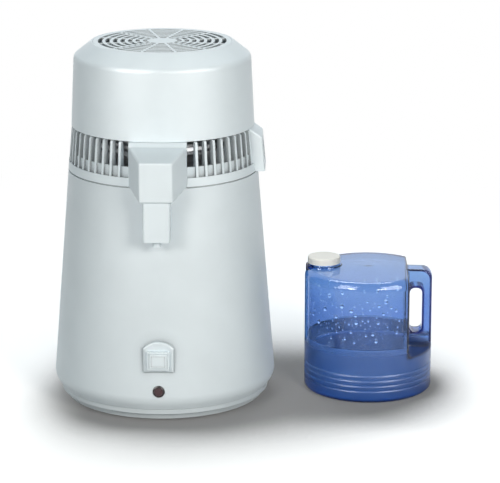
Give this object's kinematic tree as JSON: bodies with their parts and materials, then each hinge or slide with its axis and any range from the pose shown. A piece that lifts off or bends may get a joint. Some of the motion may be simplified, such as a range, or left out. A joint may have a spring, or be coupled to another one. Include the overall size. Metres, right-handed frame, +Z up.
{
  "type": "countertop water distiller",
  "caption": "Countertop water distiller: tapered white boiler with a lift-off finned fan head, a spout with a filter cup, and a blue jug beside it.",
  "frame": {"origin": "on the counter, at the axis of the round boiler", "axes": "+Z up along the boiler's axis, the spout points to -Y, the jug stands at +X"},
  "size_m": [0.3925, 0.2499, 0.371],
  "materials": {
    "casing_white": "smooth gloss moulding",
    "head_white": "smooth gloss moulding",
    "button_white": "satin moulding",
    "stainless": "drawn sheet",
    "heater_alloy": "rough cast",
    "element_sheath": "oxidised sheath",
    "base_plastic": "fine texture",
    "foot_rubber": "matt",
    "seal_silicone": "soft translucent",
    "dark_plastic": "fine texture",
    "contact_brass": "plain",
    "lens_red": "dark translucent",
    "motor_metal": "satin",
    "zinc_screw": "zinc plated",
    "fan_plastic": "fine texture",
    "filter_white": "satin moulding",
    "carbon": "granules in a fine mesh",
    "jug_blue": "clear tinted moulding",
    "cap_white": "satin moulding",
    "water": "still water and drops"
  },
  "bodies": {
    "boiler": {"boiler_casing": "casing_white", "boiler_tank": "stainless", "heater_plate": "heater_alloy", "heating_element": "element_sheath", "element_clamp": "stainless", "boil_dry_thermostat": "motor_metal", "thermal_cutout": "motor_metal", "heat_shield": "stainless", "base_tray": "base_plastic", "base_screws": "zinc_screw", "button_collar": "button_white", "switch_module": "dark_plastic", "indicator_lens": "lens_red", "lamp_holder": "dark_plastic", "mains_inlet": "dark_plastic", "mains_pins": "contact_brass", "foot_1": "foot_rubber", "foot_2": "foot_rubber", "foot_3": "foot_rubber", "foot_4": "foot_rubber"},
    "power_button": {"power_button": "button_white"},
    "head": {"steam_seal": "seal_silicone", "steam_dome": "stainless", "steam_riser": "stainless", "condenser_coil": "stainless", "vent_ring": "head_white", "top_cover": "head_white", "fan_grille": "head_white", "spout_housing": "head_white", "socket_housing": "head_white", "socket_pins": "contact_brass", "motor_bracket": "motor_metal", "fan_motor": "motor_metal", "cover_screws": "zinc_screw"},
    "fan": {"fan_shaft": "stainless", "fan_blades": "fan_plastic"},
    "filter_cup": {"filter_cup": "filter_white", "outlet_nozzle": "filter_white", "carbon_pod": "carbon"},
    "jug": {"jug_body": "jug_blue"},
    "cap_liner": {"cap_liner": "seal_silicone"},
    "spout_cap": {"spout_cap": "cap_white"}
  },
  "joints": [
    {"name": "head_lift", "type": "slide", "parent": "boiler", "child": "head", "axis": [0, 0, 1], "range_m": [0, 0.16]},
    {"name": "fan_spin", "type": "hinge", "parent": "head", "child": "fan", "pos_m": [0, 0, 0.3256], "axis": [0, 0, 1], "continuous": true},
    {"name": "filter_cup_pull", "type": "slide", "parent": "head", "child": "filter_cup", "axis": [0, 0, -1], "range_m": [0, 0.045]},
    {"name": "button_press", "type": "slide", "parent": "boiler", "child": "power_button", "axis": [0, 1, 0], "range_m": [0, 0.003], "stiffness_N_per_m": 250},
    {"name": "jug_lift", "type": "slide", "parent": "boiler", "child": "jug", "axis": [0, 0, 1], "range_m": [0, 0.2]},
    {"name": "cap_liner_lift", "type": "slide", "parent": "jug", "child": "cap_liner", "axis": [0, 0, 1], "range_m": [0, 0.0091]},
    {"name": "cap_turn", "type": "hinge", "parent": "cap_liner", "child": "spout_cap", "pos_m": [0.1655, 0.031, 0.1352], "axis": [0, 0, 1], "range_deg": [0, 540]}
  ],
  "couplings": [
    {"joint": "cap_liner_lift", "follows": "cap_turn", "m_per_rad": 0.00095493}
  ]
}
